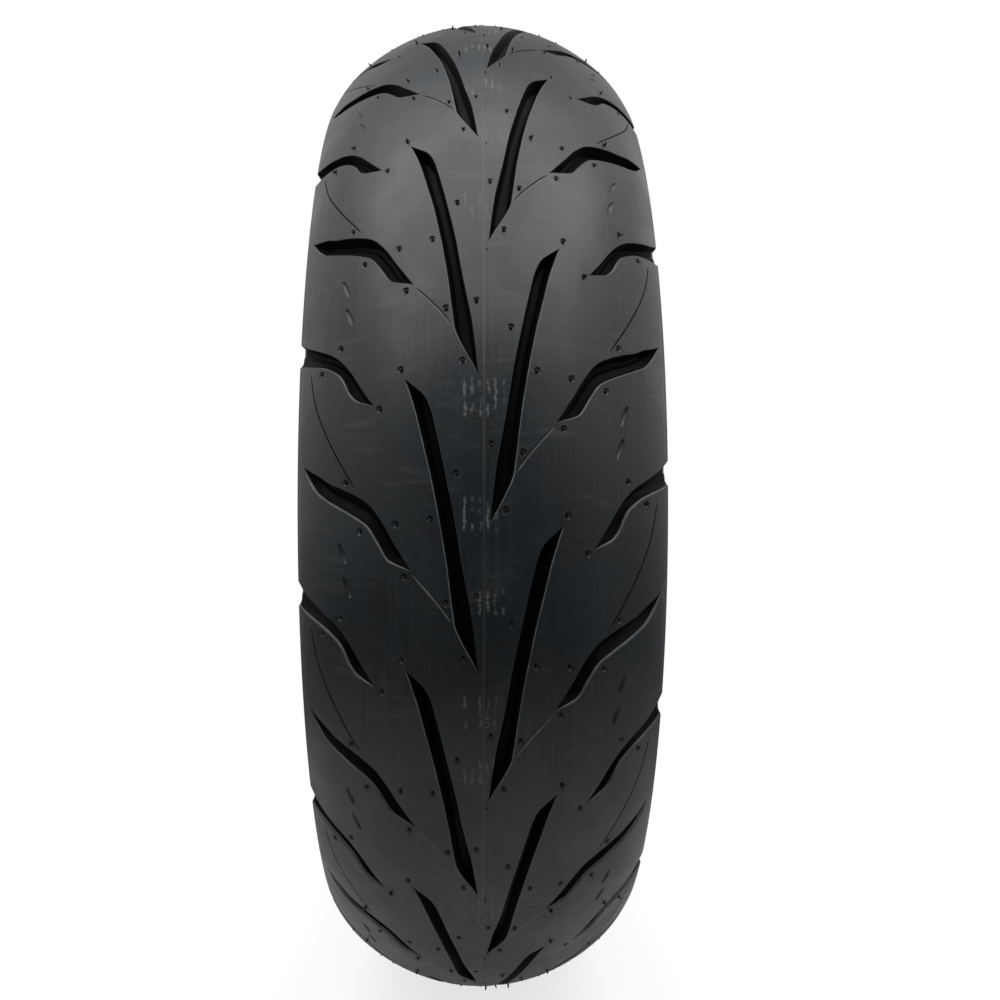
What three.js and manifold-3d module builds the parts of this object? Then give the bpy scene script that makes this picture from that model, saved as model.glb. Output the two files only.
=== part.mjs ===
// A tubeless motorcycle / scooter tire, size 130/70-12, as the layers it is built from.
// Millimetres. The axle is the Y axis and the origin is the wheel's centre. +Y is the right side.
// Angles about the axle follow the right-hand rule: x = r sin(angle), z = r cos(angle).
import * as THREE from "three";
import { mergeVertices } from "three/addons/utils/BufferGeometryUtils.js";
import Module from "manifold-3d";

// ---------- driving dimensions ----------
const RIM_DIAMETER = 304; // bead seat of a 12 inch motorcycle rim
const SECTION_WIDTH = 130;
const ASPECT = 0.7;
const RIM_WIDTH = 88.9; // 3.50 inch, between the rim flanges
const NOMINAL_RIM = 12 * 25.4;
const OUTER_RADIUS = NOMINAL_RIM / 2 + ASPECT * SECTION_WIDTH; // 243.4

const CROWN_RADIUS = 86; // curvature of the tread across its middle
const CROWN_ANGLE = THREE.MathUtils.degToRad(38);
const SHOULDER_RADIUS = 52; // curvature from there to the tread's edge
const EDGE_ANGLE = THREE.MathUtils.degToRad(59);

const TREAD_THICKNESS = 7.4;
const LAYER_GAP = 0.3; // free space between two layers
const HALF_GAP = LAYER_GAP / 2;
const PLY = 0.85;
const BREAKER = 0.8;
const UNDERTREAD = 1;
const LINER = 1.2;
const CHAFER = 0.6;

const BEAD_CENTRE = new THREE.Vector2(37, 159.4); // middle of the steel bundle: across, radius
const BEAD_HALF = 3.3; // half thickness that the plies leave free at the bead
const CORE_RADIUS = 2.3;
const WRAP = 0.45;
const FILLER_BASE_HALF = 2; // half width of the filler where it stands on the core
const FILLER_HEIGHT = 28; // from the bead's middle to the filler's tip
const BEAD_TAPER = Math.tan(THREE.MathUtils.degToRad(5));
const FLANGE_TOP = 163.5; // radius where the sidewall leaves the rim flange
const HEEL_RADIUS = 4;
const BEAD_WIDTH = 14.6;

const SEGMENTS = 20; // facets around the axle
const PITCHES = 16; // repeats of the tread pattern around the tire
const PATTERN_START = 6.9 / OUTER_RADIUS; // angle of the first centre groove's lower tip on the right
const PITCH_WAVE = 0.016; // radians of drift that make the repeats longest at the front and back

// ---------- materials ----------
const rubber = (color, roughness) =>
  new THREE.MeshStandardMaterial({ color, roughness, metalness: 0 });
const treadRubber = rubber(0x26292b, 0.62);
const sidewallRubber = rubber(0x222426, 0.55);
const softRubber = rubber(0x2c2c2e, 0.75);
const linerRubber = rubber(0x1d1d1f, 0.45);
const coatedFabric = rubber(0x4a4337, 0.8);
const beadSteel = new THREE.MeshStandardMaterial({
  color: 0xa8875a,
  roughness: 0.35,
  metalness: 1,
});

// ---------- curves of the cross-section, in (across, radius) ----------
const vec = (across, radius) => new THREE.Vector2(across, radius);

// The outside of the tread is a crown arc, then a tighter shoulder arc. Distances run along it from the middle.
const CROWN_CENTRE = vec(0, OUTER_RADIUS - CROWN_RADIUS);
const SHOULDER_CENTRE = vec(
  (CROWN_RADIUS - SHOULDER_RADIUS) * Math.sin(CROWN_ANGLE),
  CROWN_CENTRE.y + (CROWN_RADIUS - SHOULDER_RADIUS) * Math.cos(CROWN_ANGLE),
);
const CROWN_LENGTH = CROWN_RADIUS * CROWN_ANGLE;
const EDGE_LENGTH = CROWN_LENGTH + SHOULDER_RADIUS * (EDGE_ANGLE - CROWN_ANGLE);

// A point at an angle of the crown or shoulder arc, some depth under the tread's surface.
function arcPoint(angle, depth) {
  const onCrown = angle <= CROWN_ANGLE;
  const centre = onCrown ? CROWN_CENTRE : SHOULDER_CENTRE;
  const radius = (onCrown ? CROWN_RADIUS : SHOULDER_RADIUS) - depth;
  return vec(centre.x + radius * Math.sin(angle), centre.y + radius * Math.cos(angle));
}

// The same by distance along the surface. Past the tread's edge the surface goes straight on.
function surfacePoint(distance, depth) {
  const d = Math.abs(distance);
  const side = Math.sign(distance) || 1;
  const past = Math.max(0, d - EDGE_LENGTH);
  const onArc = d - past;
  const angle =
    onArc <= CROWN_LENGTH
      ? onArc / CROWN_RADIUS
      : CROWN_ANGLE + (onArc - CROWN_LENGTH) / SHOULDER_RADIUS;
  const p = arcPoint(angle, depth);
  return vec(side * (p.x + past * Math.cos(angle)), p.y - past * Math.sin(angle));
}

// The carcass line is the face between the plies and what lies outside them, from the crown to the bead.
const CARCASS_DEPTH =
  TREAD_THICKNESS + UNDERTREAD + 2 * BREAKER + 3 * LAYER_GAP + HALF_GAP;
const CROWN_STATIONS = [0, 19, 38, 60];
const carcassSide = new THREE.SplineCurve([
  arcPoint(THREE.MathUtils.degToRad(CROWN_STATIONS.at(-1)), CARCASS_DEPTH),
  vec(60, 194.5),
  vec(57.8, 185.6),
  vec(51.6, 179),
  vec(44.6, 174.6),
  vec(39.4, 169.4),
  vec(37.3, 164),
  BEAD_CENTRE.clone(),
]);
const SIDE_STATIONS = [0.22, 0.44, 0.76, 1];

// Stations along the carcass line, each with its point, outward normal and height above the bead's middle.
const carcass = [
  ...CROWN_STATIONS.map(THREE.MathUtils.degToRad).map((angle) => ({
    point: arcPoint(angle, CARCASS_DEPTH),
    normal: vec(Math.sin(angle), Math.cos(angle)),
    height: Infinity,
  })),
  ...SIDE_STATIONS.map((share) => {
    const tangent = carcassSide.getTangentAt(share);
    return {
      point: carcassSide.getPointAt(share),
      normal: vec(-tangent.y, tangent.x),
      height: carcassSide.getLength() * (1 - share),
    };
  }),
];
const ARC_END = CROWN_STATIONS.length - 1;
const LAST = carcass.length - 2; // the last station above the bead

// Half the thickness that the filler takes up between the two legs of a ply.
const fillerHalf = (station) =>
  BEAD_HALF * Math.max(0, 1 - station.height / FILLER_HEIGHT);

// A point at some distance past the filler, outside (side 1) or inside (side -1) of a station.
function offset(index, side, distance) {
  const station = carcass[index];
  const total = side * (distance + fillerHalf(station));
  return station.point.clone().addScaledVector(station.normal, total);
}
const range = (from, to) =>
  Array.from({ length: Math.abs(to - from) + 1 }, (_, i) =>
    from < to ? from + i : from - i,
  );
const along = (from, to, side, distance) =>
  range(from, to).map((i) => offset(i, side, distance));

// An arc in the plane of the cross-section, in degrees from the direction that faces away from the middle.
function arc(centre, radius, from, to, steps) {
  return Array.from({ length: steps + 1 }, (_, i) => {
    const angle = THREE.MathUtils.degToRad(from + ((to - from) * i) / steps);
    return vec(
      centre.x + radius * Math.cos(angle),
      centre.y + radius * Math.sin(angle),
    );
  });
}
// The arc under the bead's middle, from the air side to the side that faces the rim flange.
const underBead = (distance) =>
  arc(BEAD_CENTRE, BEAD_HALF + distance, 165, 360, 4);

// ---------- solids of revolution ----------
const mirrored = (points) => points.map((p) => vec(-p.x, p.y));

// A closed outline in (across, radius) turned about the axle.
function revolve(outline) {
  const closed = [...outline, outline[0]];
  const area = THREE.ShapeUtils.area(outline);
  if (area > 0) closed.reverse();
  return new THREE.LatheGeometry(
    closed.map((p) => vec(p.y, p.x)),
    SEGMENTS,
  );
}
// A band that crosses the crown: its outer and inner line on the right half, both starting in the middle.
function crownBand(outer, inner) {
  return revolve([
    ...outer,
    ...[...inner].reverse(),
    ...mirrored(inner).slice(1),
    ...mirrored(outer).reverse().slice(0, -1),
  ]);
}

const tire = new THREE.Group();
function add(name, geometry, material) {
  const mesh = new THREE.Mesh(geometry, material);
  mesh.name = name;
  tire.add(mesh);
}
function addPair(name, outline, material) {
  add(`${name}_right`, revolve(outline), material);
  add(`${name}_left`, revolve(mirrored(outline)), material);
}

// ---------- tread pattern ----------
// Each groove is a row of stations [inner edge across, along, outer edge across, along], tip to tip.
// Across is the distance from the middle along the surface; along runs round the crown in the angle's sense.
const CENTRE_GROOVE = {
  depth: 6,
  stations: [
    [26, -96, 26, -96],
    [16.7, -84, 20.5, -80],
    [6.1, -31, 11, -31],
    [3.4, -15, 9.3, -16],
    [1.2, 0, 1.2, 0],
  ],
};
const LATERAL_GROOVE = {
  depth: 5,
  stations: [
    [71, -69, 71, -69],
    [41, -56, 43, -48],
    [29.3, -42, 33.8, -36.6],
    [23.8, -33.2, 23.8, -33.2],
  ],
};
const SHOULDER_GROOVE = {
  depth: 3.6,
  stations: [
    [82, -121, 82, -111.5],
    [50, -102, 52.6, -96],
    [37.5, -87, 37.5, -87],
  ],
};
const CUTTER_RISE = 4; // how far a cutter stands above the tread
const WALL_DRAFT = 0.75; // share of a groove's width at its floor

// The solid that cuts one groove, on side -1 or 1, turned by an angle.
function grooveCutter(groove, side, turn) {
  const positions = [];
  const place = (across, along, depth) => {
    const p = surfacePoint(side * across, depth);
    const even = along / OUTER_RADIUS + turn;
    const angle = even - PITCH_WAVE * Math.sin(2 * even);
    return [p.y * Math.sin(angle), p.x, p.y * Math.cos(angle)];
  };
  const middle = (a, b, share) => a + ((b - a) * share) / 2;
  const taper = 1 - WALL_DRAFT;
  const rings = groove.stations.map(([x0, v0, x1, v1]) => [
    place(x0, v0, -CUTTER_RISE),
    place(x1, v1, -CUTTER_RISE),
    place(middle(x1, x0, taper), middle(v1, v0, taper), groove.depth),
    place(middle(x0, x1, taper), middle(v0, v1, taper), groove.depth),
  ]);
  const quad = (a, b, c, d) => positions.push(...a, ...b, ...c, ...a, ...c, ...d);
  for (let i = 0; i + 1 < rings.length; i++)
    for (let j = 0; j < 4; j++) {
      const k = (j + 1) % 4;
      quad(rings[i][j], rings[i][k], rings[i + 1][k], rings[i + 1][j]);
    }
  const [first, last] = [rings[0], rings.at(-1)];
  quad(first[3], first[2], first[1], first[0]);
  quad(...last);
  return new THREE.BufferGeometry().setAttribute(
    "position",
    new THREE.Float32BufferAttribute(positions, 3),
  );
}

// ---------- manifold-3d, for cutting ----------
const wasm = await Module();
wasm.setup();

function toSolid(geometry) {
  const bare = geometry.clone();
  bare.deleteAttribute("normal");
  bare.deleteAttribute("uv");
  const merged = mergeVertices(bare, 1e-3);
  const index = [...merged.index.array];
  const triVerts = [];
  for (let i = 0; i < index.length; i += 3) {
    const [a, b, c] = index.slice(i, i + 3);
    if (a !== b && b !== c && c !== a) triVerts.push(a, b, c);
  }
  const build = (tris) =>
    new wasm.Manifold(
      new wasm.Mesh({
        numProp: 3,
        vertProperties: merged.attributes.position.array,
        triVerts: new Uint32Array(tris),
      }),
    );
  const solid = build(triVerts);
  return solid.volume() > 0 ? solid : build(triVerts.reverse());
}
function toGeometry(solid) {
  const mesh = solid.getMesh();
  const positions = new THREE.BufferAttribute(mesh.vertProperties, mesh.numProp);
  return new THREE.BufferGeometry()
    .setAttribute("position", positions)
    .setIndex(new THREE.BufferAttribute(mesh.triVerts, 1));
}

// ---------- the tread and its grooves ----------
const atAngles = (degrees, depth) =>
  degrees.map((a) => arcPoint(THREE.MathUtils.degToRad(a), depth));

// The stations at one depth up to an end angle. The last point lies on the chord between two stations, so that
// layers which end at different angles keep their distance.
function crownLine(end, depth) {
  const passed = CROWN_STATIONS.filter((a) => a < end);
  const from = passed.at(-1);
  const to = CROWN_STATIONS[passed.length];
  const [a, b] = atAngles([from, to], depth);
  return [...atAngles(passed, depth), a.lerp(b, (end - from) / (to - from))];
}

const TREAD_OUTER = [0, 9.5, 19, 28.5, 38, 48.5, 59];
const treadEdge = arcPoint(EDGE_ANGLE, 0);
const TREAD_WING = vec(treadEdge.x - 1.1, treadEdge.y - 2.4); // lower corner of the tread's edge
const treadBlank = crownBand(
  [...atAngles(TREAD_OUTER, 0), TREAD_WING],
  crownLine(57.5, TREAD_THICKNESS),
);
let treadSolid = toSolid(treadBlank);
for (const side of [-1, 1])
  for (let i = 0; i < PITCHES; i++) {
    const pitch = i + (side < 0 ? 0.5 : 0); // the left side runs half a pitch later
    const turn = PATTERN_START + (2 * Math.PI * pitch) / PITCHES;
    for (const groove of [CENTRE_GROOVE, LATERAL_GROOVE, SHOULDER_GROOVE])
      treadSolid = treadSolid.subtract(toSolid(grooveCutter(groove, side, turn)));
  }
add("tread", toGeometry(treadSolid), treadRubber);

// ---------- layers under the tread ----------
function addCrownLayer(name, end, depth, thickness, material) {
  const band = crownBand(crownLine(end, depth), crownLine(end, depth + thickness));
  add(name, band, material);
}
const undertreadDepth = TREAD_THICKNESS + LAYER_GAP;
const outerBreakerDepth = undertreadDepth + UNDERTREAD + LAYER_GAP;
const innerBreakerDepth = outerBreakerDepth + BREAKER + LAYER_GAP;
addCrownLayer("undertread", 57, undertreadDepth, UNDERTREAD, softRubber);
addCrownLayer("breaker_outer", 45, outerBreakerDepth, BREAKER, coatedFabric);
addCrownLayer("breaker_inner", 48, innerBreakerDepth, BREAKER, coatedFabric);

// A wedge of soft rubber beside the breakers' edges, between the undertread and the plies.
const cushionLine = (depth) => [49, 58.5].map((end) => crownLine(end, depth).at(-1));
addPair(
  "shoulder_cushion",
  [...cushionLine(outerBreakerDepth), ...cushionLine(CARCASS_DEPTH - LAYER_GAP).reverse()],
  softRubber,
);

// ---------- plies, which turn up round the beads, and the air-tight liner ----------
const outerPly = HALF_GAP;
const innerPly = outerPly + PLY + LAYER_GAP;
const pastPlies = innerPly + PLY + LAYER_GAP;
const OUTER_PLY_END = ARC_END + 1; // the station where the turned-up leg stops
const INNER_PLY_END = ARC_END + 2;

function addPly(name, clear, end) {
  const face = (distance) => [
    ...along(0, LAST, -1, distance),
    ...underBead(distance),
    ...along(LAST, end, 1, distance),
  ];
  add(name, crownBand(face(clear), face(clear + PLY)), coatedFabric);
}
addPly("carcass_ply_outer", outerPly, OUTER_PLY_END);
addPly("carcass_ply_inner", innerPly, INNER_PLY_END);

add(
  "inner_liner",
  crownBand(along(0, LAST, -1, pastPlies), along(0, LAST, -1, pastPlies + LINER)),
  linerRubber,
);

// ---------- bead: steel core, its wrap and filler, the chafer and the rim strip ----------
addPair("bead_core", arc(BEAD_CENTRE, CORE_RADIUS, 60, 360, 5), beadSteel);

const WRAP_INNER = CORE_RADIUS + LAYER_GAP + 0.05;
const WRAP_OUTER = WRAP_INNER + WRAP;
addPair(
  "bead_wrap",
  [
    ...arc(BEAD_CENTRE, WRAP_OUTER, 120, 420, 5),
    ...arc(BEAD_CENTRE, WRAP_INNER, 420, 120, 5),
  ],
  coatedFabric,
);

// The filler stands on the wrapped core and tapers to nothing between the two legs of the plies.
const FILLER_BASE = BEAD_CENTRE.y + WRAP_OUTER;
const FILLER_TIP = INNER_PLY_END;
addPair(
  "bead_filler",
  [
    vec(BEAD_CENTRE.x - FILLER_BASE_HALF, FILLER_BASE),
    ...along(LAST, FILLER_TIP, -1, 0),
    ...along(FILLER_TIP + 1, LAST, 1, 0),
    vec(BEAD_CENTRE.x + FILLER_BASE_HALF, FILLER_BASE),
  ],
  softRubber,
);

// The chafer is a fabric strip against rubbing, from the bead's air side round to the flange's height.
const chaferFace = (distance) => [...underBead(distance), offset(LAST, 1, distance)];
addPair(
  "chafer",
  [...chaferFace(pastPlies), ...chaferFace(pastPlies + CHAFER).reverse()],
  coatedFabric,
);

// The outside of the sidewall, from the tread's edge down to the top of the rim flange.
const FLANGE_FACE = RIM_WIDTH / 2;
const SEAT_RADIUS = RIM_DIAMETER / 2;
const WALL_JOINT = 5; // index where the rim strip takes over from the sidewall
const wall = [
  vec(treadEdge.x - 1.3, treadEdge.y - 3),
  vec(64, 202),
  vec(63.4, 195),
  vec(61.6, 187),
  vec(58, 179.4),
  vec(52.2, 172.8),
  vec(47, 167.8),
  vec(FLANGE_FACE, FLANGE_TOP),
];
const heel = vec(FLANGE_FACE - HEEL_RADIUS, SEAT_RADIUS + HEEL_RADIUS);
const toe = vec(FLANGE_FACE - BEAD_WIDTH, SEAT_RADIUS - 0.6 * BEAD_WIDTH * BEAD_TAPER);
const pastChafer = pastPlies + CHAFER + LAYER_GAP;
const stripTop = offset(LAST, 1, pastChafer).lerp(offset(LAST - 1, 1, pastChafer), 0.45);
addPair(
  "rim_strip",
  [
    ...wall.slice(WALL_JOINT),
    ...arc(heel, HEEL_RADIUS, 0, -90, 3),
    toe,
    vec(toe.x - 0.6, toe.y + 1.4),
    vec(toe.x - 0.4, BEAD_CENTRE.y - 1),
    ...underBead(pastChafer).slice(1),
    offset(LAST, 1, pastChafer),
    stripTop,
  ],
  sidewallRubber,
);

// The sidewall's inner face passes over the ends of the plies, which lie further out the lower they are.
const jointShift = vec(0.25, 0.45); // space between the sidewall and the rim strip below it
addPair(
  "sidewall",
  [
    ...wall.slice(0, WALL_JOINT),
    wall[WALL_JOINT].clone().add(jointShift),
    stripTop.clone().add(jointShift),
    offset(INNER_PLY_END, 1, pastPlies),
    offset(OUTER_PLY_END, 1, innerPly),
    offset(ARC_END, 1, HALF_GAP + LAYER_GAP),
    ...atAngles([59.6], CARCASS_DEPTH - 2),
    ...atAngles([58.4], TREAD_THICKNESS + LAYER_GAP),
  ],
  sidewallRubber,
);

tire.userData.name = "motorcycle tire 130/70-12";
export default tire;
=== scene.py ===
"""The looks of a motorcycle tire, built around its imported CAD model.

Metres, with the axle along Y and +X towards the camera. A point of the tread is given by its distance
across the surface from the middle line, its distance along the crown (downwards in the camera's view, 0 at
the very front) and its depth under the surface. Pattern sizes are in millimetres.
"""

import math
import random

import bmesh
import bpy
import numpy as np
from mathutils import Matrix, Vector
from mathutils.geometry import delaunay_2d_cdt


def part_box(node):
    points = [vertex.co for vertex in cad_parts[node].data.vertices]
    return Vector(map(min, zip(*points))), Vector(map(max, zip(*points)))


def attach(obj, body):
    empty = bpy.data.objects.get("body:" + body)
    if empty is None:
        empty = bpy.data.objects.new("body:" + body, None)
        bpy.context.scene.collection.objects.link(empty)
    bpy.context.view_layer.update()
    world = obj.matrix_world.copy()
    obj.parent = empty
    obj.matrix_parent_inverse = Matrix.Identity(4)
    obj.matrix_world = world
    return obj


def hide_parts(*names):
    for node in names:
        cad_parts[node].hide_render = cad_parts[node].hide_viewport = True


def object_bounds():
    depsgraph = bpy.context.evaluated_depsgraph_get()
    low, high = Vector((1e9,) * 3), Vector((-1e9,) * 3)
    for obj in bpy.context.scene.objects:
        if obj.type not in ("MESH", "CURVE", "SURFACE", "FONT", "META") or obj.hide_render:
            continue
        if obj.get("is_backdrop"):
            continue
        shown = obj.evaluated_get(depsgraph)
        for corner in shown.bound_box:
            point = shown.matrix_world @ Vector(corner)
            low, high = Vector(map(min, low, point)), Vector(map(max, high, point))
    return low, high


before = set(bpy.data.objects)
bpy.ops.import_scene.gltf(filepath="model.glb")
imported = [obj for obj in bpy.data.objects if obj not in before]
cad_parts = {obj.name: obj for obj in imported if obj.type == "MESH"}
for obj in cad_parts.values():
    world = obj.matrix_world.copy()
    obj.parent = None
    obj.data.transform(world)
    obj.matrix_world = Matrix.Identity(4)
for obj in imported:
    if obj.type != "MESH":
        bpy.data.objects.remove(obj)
cad_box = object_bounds()
MM = 0.001
TAU = 2 * math.pi

# ---------- the tread's shape, in millimetres ----------
OUTER_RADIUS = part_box("tread")[1].z / MM
CROWN_RADIUS = 86.0
CROWN_ANGLE = math.radians(38)
SHOULDER_RADIUS = 52.0
EDGE_ANGLE = math.radians(59)
TREAD_THICKNESS = 7.4
INNER_EDGE_ANGLE = math.radians(57.5)

CROWN_CENTRE = np.array([0.0, OUTER_RADIUS - CROWN_RADIUS])
SHOULDER_CENTRE = CROWN_CENTRE + (CROWN_RADIUS - SHOULDER_RADIUS) * np.array(
    [math.sin(CROWN_ANGLE), math.cos(CROWN_ANGLE)]
)
CROWN_LENGTH = CROWN_RADIUS * CROWN_ANGLE
EDGE = CROWN_LENGTH + SHOULDER_RADIUS * (EDGE_ANGLE - CROWN_ANGLE)

PITCHES = 16
PITCH = TAU * OUTER_RADIUS / PITCHES
DRAWN_PITCH = 96.7  # the pitch that the outlines below are drawn at
PATTERN_START = -89.4  # along the crown, the upper tip of a centre groove on the right
PITCH_WAVE = 0.016  # radians of drift that make the pitches longest at the front and back

# Stations [first edge across, along, second edge across, along] from tip to tip, on the right side.
CENTRE_GROOVE = [
    [26.75, 0, 26.75, 0],
    [22.6, 3.4, 25.4, 3.9],
    [19.5, 6.3, 24.3, 7.2],
    [17.3, 11, 22.8, 12],
    [16, 16, 21.5, 17],
    [14.7, 21.5, 20.1, 22.8],
    [12.5, 31.5, 17.6, 33],
    [9.4, 46.5, 14.7, 47.5],
    [6.9, 61.5, 12.3, 62],
    [4, 76.5, 10.5, 76.8],
    [3.3, 81.5, 9.7, 81.5],
    [2.4, 89, 7, 87.2],
    [1.6, 97, 1.6, 97],
]
LATERAL_GROOVE = [
    [71, 27, 71, 27],
    [66, 29.4, 68.2, 32.3],
    [61, 31.5, 63.2, 37.6],
    [56.5, 34, 57.6, 40.8],
    [51, 36, 52.2, 43.3],
    [44.6, 38.6, 46.6, 45.9],
    [39.6, 41.4, 41, 49],
    [36.4, 44.8, 38, 52.6],
    [33.5, 48.7, 35.8, 56],
    [30.25, 54, 33.5, 59.6],
    [27.5, 58, 31, 61.3],
    [23.8, 63.5, 23.8, 63.5],
]
SHOULDER_GROOVE = [
    [37.5, 8.5, 37.5, 8.5],
    [39.6, 5.7, 42, 7.2],
    [42, 2.5, 45.5, 5.8],
    [44.3, -0.8, 48.6, 2.6],
    [46.5, -4, 50.8, -1.6],
    [50.3, -8.6, 53.4, -4.9],
    [55.3, -12.7, 58.8, -8.3],
    [62.5, -16.5, 65, -10.6],
    [70, -20.4, 71, -12.4],
    [EDGE, -24.4, EDGE, -14.4],
]
# Thin engraved lines: their middle, from end to end.
SHOULDER_LINE = [
    [67.2, -8.4],
    [66, -2.5],
    [63.5, 5.5],
    [59.7, 13.5],
    [53.8, 23.5],
    [49, 30.5],
    [44.6, 36.6],
]
TIP_LINE = [[23.7, 64.4], [18.8, 69.5], [14, 75], [10.5, 79.9]]
DIMPLES = [[50.5, 58.8], [48.5, 70.6]]
DIMPLE_SIZE = (2.6, 7.6)
DIMPLE_LEAN = 3.0  # how much further out the upper end lies than the lower
VENTS = [
    [28, -3],
    [7, -4.8],
    [35.6, 9.8],
    [61, -6.8],
    [52, -14.6],
    [2.4, 71],
    [12.6, 73.4],
    [26.6, 65.4],
    [43, 51],
    [29.6, 48.2],
    [17.6, 46.5],
    [9, 32],
    [48.9, 34.2],
]
VENT_RADIUS = 1.4  # of the shallow dish round each vent stub
LIP = 0.3  # rounding of a groove's rim
BEVEL = 0.4  # the broader bevel of the edge that the light catches
DRAFT = 0.16  # how far a groove's wall leans, per millimetre of depth

CENTRE_DEPTH = 5.6
LATERAL_DEPTH = 4.8
SHOULDER_DEPTH = 4.6
SHOULDER_LINE_WIDTH = 0.6
TIP_LINE_WIDTH = 1.0
STRIP_STEP = 1.6  # between two stations of a groove

PARTING_PROFILE = ((-0.5, 0.0), (-0.28, 0.22), (0.28, 0.22), (0.5, 0.0))  # (across, height)
PARTING_STEP = 3.0
EDGE_POINTS = 34  # of each side of a pitch, before those too near a groove are dropped
EDGE_CLEARANCE = 1.2
LAND_STEP = 4.4  # across, between rows of points on the lands
LAND_POINTS = 16
LAND_JITTER = 0.4
LAND_CLEARANCE = 1.9
UNDER_SCALE = 80  # millimetres for each radian, where the underside is laid out flat
UNDER_COLUMNS = 12
UNDER_POINTS = 8

# ---------- the sidewalls, in millimetres, as (across, radius) from the tread down ----------
SIDE_SEGMENTS = 960
RIB_STEP = 1.3  # between two points of a flank's outer line, away from its ribs
SIDE_LINE = [
    [64.35, 208.5],
    [64.0, 202.0],
    [63.4, 195.0],
    [61.6, 187.0],
    [58.0, 179.4],
    [52.45, 173.25],
]
SIDE_BACK = [
    [50.86, 173.84],
    [56.99, 180.54],
    [61.32, 193.11],
    [56.79, 204.89],
    [57.98, 205.93],
    [58.6, 208.1],
]
# Ridges that run round the ring, as (distance down the line, width, height).
SIDE_RIBS = [
    (1.5, 0.9, -0.45),
    (3.9, 1.3, 0.5),
    (5.9, 0.8, 0.3),
    (14.2, 1.1, 0.45),
    (27.3, 1.1, 0.45),
    (32.6, 0.9, 0.35),
    (34.6, 0.9, 0.35),
]
HATCH_BAND = (15.4, 26.2)
HATCH_PANELS = 6
HATCH_GAP = 0.14  # smooth share at both ends of each panel
HATCH_HEIGHT = 0.5
RIM_LINE = [[52.3, 172.95], [49.6, 170.4], [47.0, 167.8], [45.2, 165.0], [44.5, 162.4]]
RIM_RIBS = [(2.6, 1.0, 0.4), (5.0, 1.0, 0.4), (8.0, 0.9, -0.3)]
HEEL_CENTRE = (40.45, 156.0)
HEEL_RADIUS = 4.0
TOE_LINE = [
    [36.0, 151.68],
    [30.6, 151.28],
    [29.85, 151.35],
    [29.35, 151.8],
    [29.25, 152.6],
    [29.35, 157.9],
    [29.6, 158.2],
]
RIM_BACK = [
    [31.47, 155.71],
    [36.13, 152.81],
    [41.38, 154.4],
    [43.65, 159.4],
    [44.87, 168.04],
    [50.61, 173.39],
]


def section_point(angle, depth):
    """(across, radius) at an angle of the tread's arcs, some depth under the surface."""
    a = abs(angle)
    centre = CROWN_CENTRE if a <= CROWN_ANGLE else SHOULDER_CENTRE
    radius = (CROWN_RADIUS if a <= CROWN_ANGLE else SHOULDER_RADIUS) - depth
    across = centre[0] + radius * math.sin(a)
    return math.copysign(across, angle), centre[1] + radius * math.cos(a)


def surface_angle(distance):
    """The tread's slope at a distance across it from the middle."""
    d = abs(distance)
    if d <= CROWN_LENGTH:
        return math.copysign(d / CROWN_RADIUS, distance)
    return math.copysign(CROWN_ANGLE + (d - CROWN_LENGTH) / SHOULDER_RADIUS, distance)


def spline(points, step):
    """Points about step apart on a smooth curve through the given ones, of any number of coordinates."""
    p = np.array(points, float)
    p = np.vstack([2 * p[0] - p[1], p, 2 * p[-1] - p[-2]])
    out = []
    for a, b, c, d in zip(p, p[1:], p[2:], p[3:]):
        longest = max(np.linalg.norm((c - b)[i : i + 2]) for i in range(0, len(b), 2))
        n = max(1, round(longest / step))
        t = np.arange(n)[:, None] / n
        out.append(
            b
            + 0.5 * (c - a) * t
            + (a - 2.5 * b + 2 * c - 0.5 * d) * t**2
            + (1.5 * b - 0.5 * a - 1.5 * c + 0.5 * d) * t**3
        )
    return np.vstack([*out, p[-2:-1]])


# ---------- one pitch of the tread ----------
class Tile:
    """The points and faces of one pitch. A corner of a face is (point, how many pitches further along).

    skins has one letter for each face: l for the land, g for the inside of a groove (darker, a painted
    shade), e for a bevelled edge (lighter, a painted highlight).
    """

    def __init__(self):
        self.places = []  # (across, radius, along) in millimetres
        self.flat = {}  # point -> (distance across, along), for points in the surface
        self.faces = []
        self.skins = ""
        self.holes = []  # outlines that the surface leaves open, as lists of points
        self.edges = []  # lines that the surface's triangles keep, as pairs of corners
        self.rims = {1: [], -1: []}  # points at the tread's edge, by side

    def add(self, distance, along, depth=0.0):
        angle = surface_angle(distance)
        self.places.append((*section_point(angle, depth), along))
        return len(self.places) - 1

    def add_surface(self, distance, along, height=0.0):
        point = self.add(distance, along, -height)
        self.flat[point] = (distance, along)
        return point

    def add_place(self, across, radius, along):
        self.places.append((across, radius, along))
        return len(self.places) - 1

    def add_faces(self, faces, skin="l"):
        self.faces += faces
        self.skins += skin * len(faces)


def channel_section(width, depth, t):
    """A groove with steep walls and a flat floor: each point's distance from its first edge, and depth.

    t is the share of the way along it. Its second edge has a broader bevel near the end. That edge's rim is
    painted lighter as a painted highlight, and the insides are painted darker as a painted shade.
    """
    near = wall_section(width, depth, LIP)
    far = wall_section(width, depth, LIP + (BEVEL - LIP) * min(1, max(0, (t - 0.72) / 0.06)))
    return near + [(width - x, y) for x, y in reversed(far)]


def wall_section(width, depth, lip):
    """The rim, wall and floor's edge on one side of a groove."""
    lip = min(lip, 0.2 * width)
    drop = min(lip, 0.5 * depth)
    wall = min(lip + DRAFT * depth, 0.34 * width)
    floor = min(wall + 0.5, 0.46 * width)
    return [
        (0, 0),
        (0.7 * lip, 0.3 * drop),
        (lip, drop),
        (wall, 0.93 * depth),
        (floor, depth),
    ]


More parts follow.
